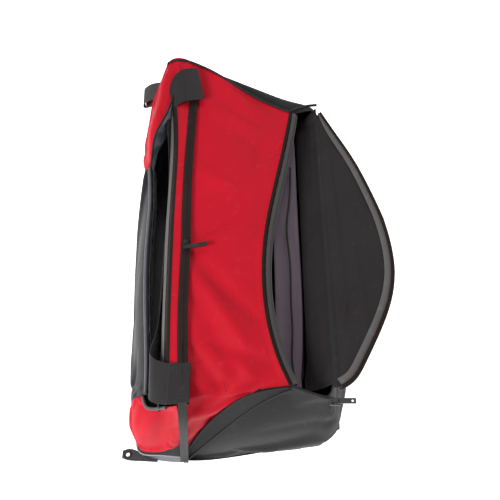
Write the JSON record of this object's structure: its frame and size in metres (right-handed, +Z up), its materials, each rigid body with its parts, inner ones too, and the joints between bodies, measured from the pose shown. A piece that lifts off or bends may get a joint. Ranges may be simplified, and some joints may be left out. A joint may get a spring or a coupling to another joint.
{
  "type": "hockey equipment bag",
  "caption": "Long soft-sided hockey equipment duffel bag with a zip-open top lid, front pocket, webbing handles and a D-ring.",
  "frame": {"origin": "middle of the base's resting face", "axes": "+X along the bag to its near end, -Y the front with the outer pocket, +Z up"},
  "size_m": [0.7487, 0.4525, 0.2664],
  "materials": {
    "red_nylon": "satin",
    "black_nylon": "matte",
    "black_vinyl": "gloss",
    "slate_vinyl": "satin",
    "grey_binding": "matte",
    "black_binding": "satin",
    "lining_black": "satin",
    "lining_grey": "matte",
    "webbing": "matte",
    "foam": "matte",
    "board": "matte",
    "zip_tape": "matte",
    "zip_teeth": "matte",
    "dark_metal": "satin",
    "nickel": "satin"
  },
  "bodies": {
    "shell": {"base_panel": "slate_vinyl", "base_board": "board", "near_end_panel": "black_vinyl", "near_end_band": "black_nylon", "far_end_panel": "black_vinyl", "back_panel": "black_nylon", "front_panel": "red_nylon", "front_inner_wall": "black_nylon", "front_lobe_far": "red_nylon", "front_lobe_near": "red_nylon", "lower_corner_panel": "slate_vinyl", "pocket_panel": "black_vinyl", "pocket_facing": "grey_binding", "pocket_binding": "black_binding", "mouth_tape": "zip_tape", "mouth_teeth": "zip_teeth", "mouth_facing": "grey_binding", "inner_pocket": "lining_grey", "front_zip_tape": "zip_tape", "front_zip_coil": "zip_teeth", "corner_strap": "webbing", "corner_rivet": "nickel", "ring_tab": "webbing", "corner_tab": "webbing", "tab_grommet": "nickel", "front_patch_near": "webbing", "front_patch_far": "webbing", "rear_patch_near": "webbing", "rear_patch_far": "webbing"},
    "lid": {"lid_skin": "black_nylon", "lid_foam": "foam", "lid_lining": "lining_black", "lid_facing": "grey_binding", "lid_tape": "zip_tape"},
    "main_slider": {"main_slider": "dark_metal"},
    "main_pull": {"main_pull": "dark_metal"},
    "front_slider": {"front_slider": "dark_metal"},
    "front_link": {"front_link": "dark_metal"},
    "front_pull": {"front_pull": "dark_metal"},
    "front_handle": {"front_handle": "webbing"},
    "rear_handle": {"rear_handle": "webbing"},
    "far_ring": {"far_ring": "nickel"}
  },
  "joints": [
    {"name": "lid_hinge", "type": "hinge", "parent": "shell", "child": "lid", "pos_m": [-0.00013, 0.1275, 0.233], "axis": [0.999, 0, 0.0436], "range_deg": [-78, 166]},
    {"name": "main_slide", "type": "slide", "parent": "shell", "child": "main_slider", "axis": [-0.3607, -0.9326, -0.0157], "range_m": [0, 0.03]},
    {"name": "main_pull_hinge", "type": "hinge", "parent": "main_slider", "child": "main_pull", "pos_m": [0.32571, 0.122, 0.25233], "axis": [0.999, 0, 0.0436], "range_deg": [-12, 150]},
    {"name": "front_slide", "type": "slide", "parent": "shell", "child": "front_slider", "axis": [0.9984, 0.0255, 0.0495], "range_m": [-0.295, 0.195]},
    {"name": "front_link_hinge", "type": "hinge", "parent": "front_slider", "child": "front_link", "pos_m": [0.04157, -0.10884, 0.21768], "axis": [0.036, -0.974, -0.2238], "range_deg": [-6, 110]},
    {"name": "front_pull_swivel", "type": "hinge", "parent": "front_link", "child": "front_pull", "pos_m": [0.05156, -0.10859, 0.21817], "axis": [-0.0425, -0.2252, 0.9734], "range_deg": [-130, 0]},
    {"name": "front_handle_hinge", "type": "hinge", "parent": "shell", "child": "front_handle", "pos_m": [0.00089, -0.136, 0.20952], "axis": [-0.999, 0, -0.0436], "range_deg": [0, 100]},
    {"name": "rear_handle_hinge", "type": "hinge", "parent": "shell", "child": "rear_handle", "pos_m": [0, 0.1695, 0.11], "axis": [1, 0, 0], "range_deg": [0, 140]},
    {"name": "ring_hinge", "type": "hinge", "parent": "shell", "child": "far_ring", "pos_m": [-0.338, -0.213, 0.16], "axis": [-1, 0, 0], "range_deg": [-40, 130]}
  ]
}
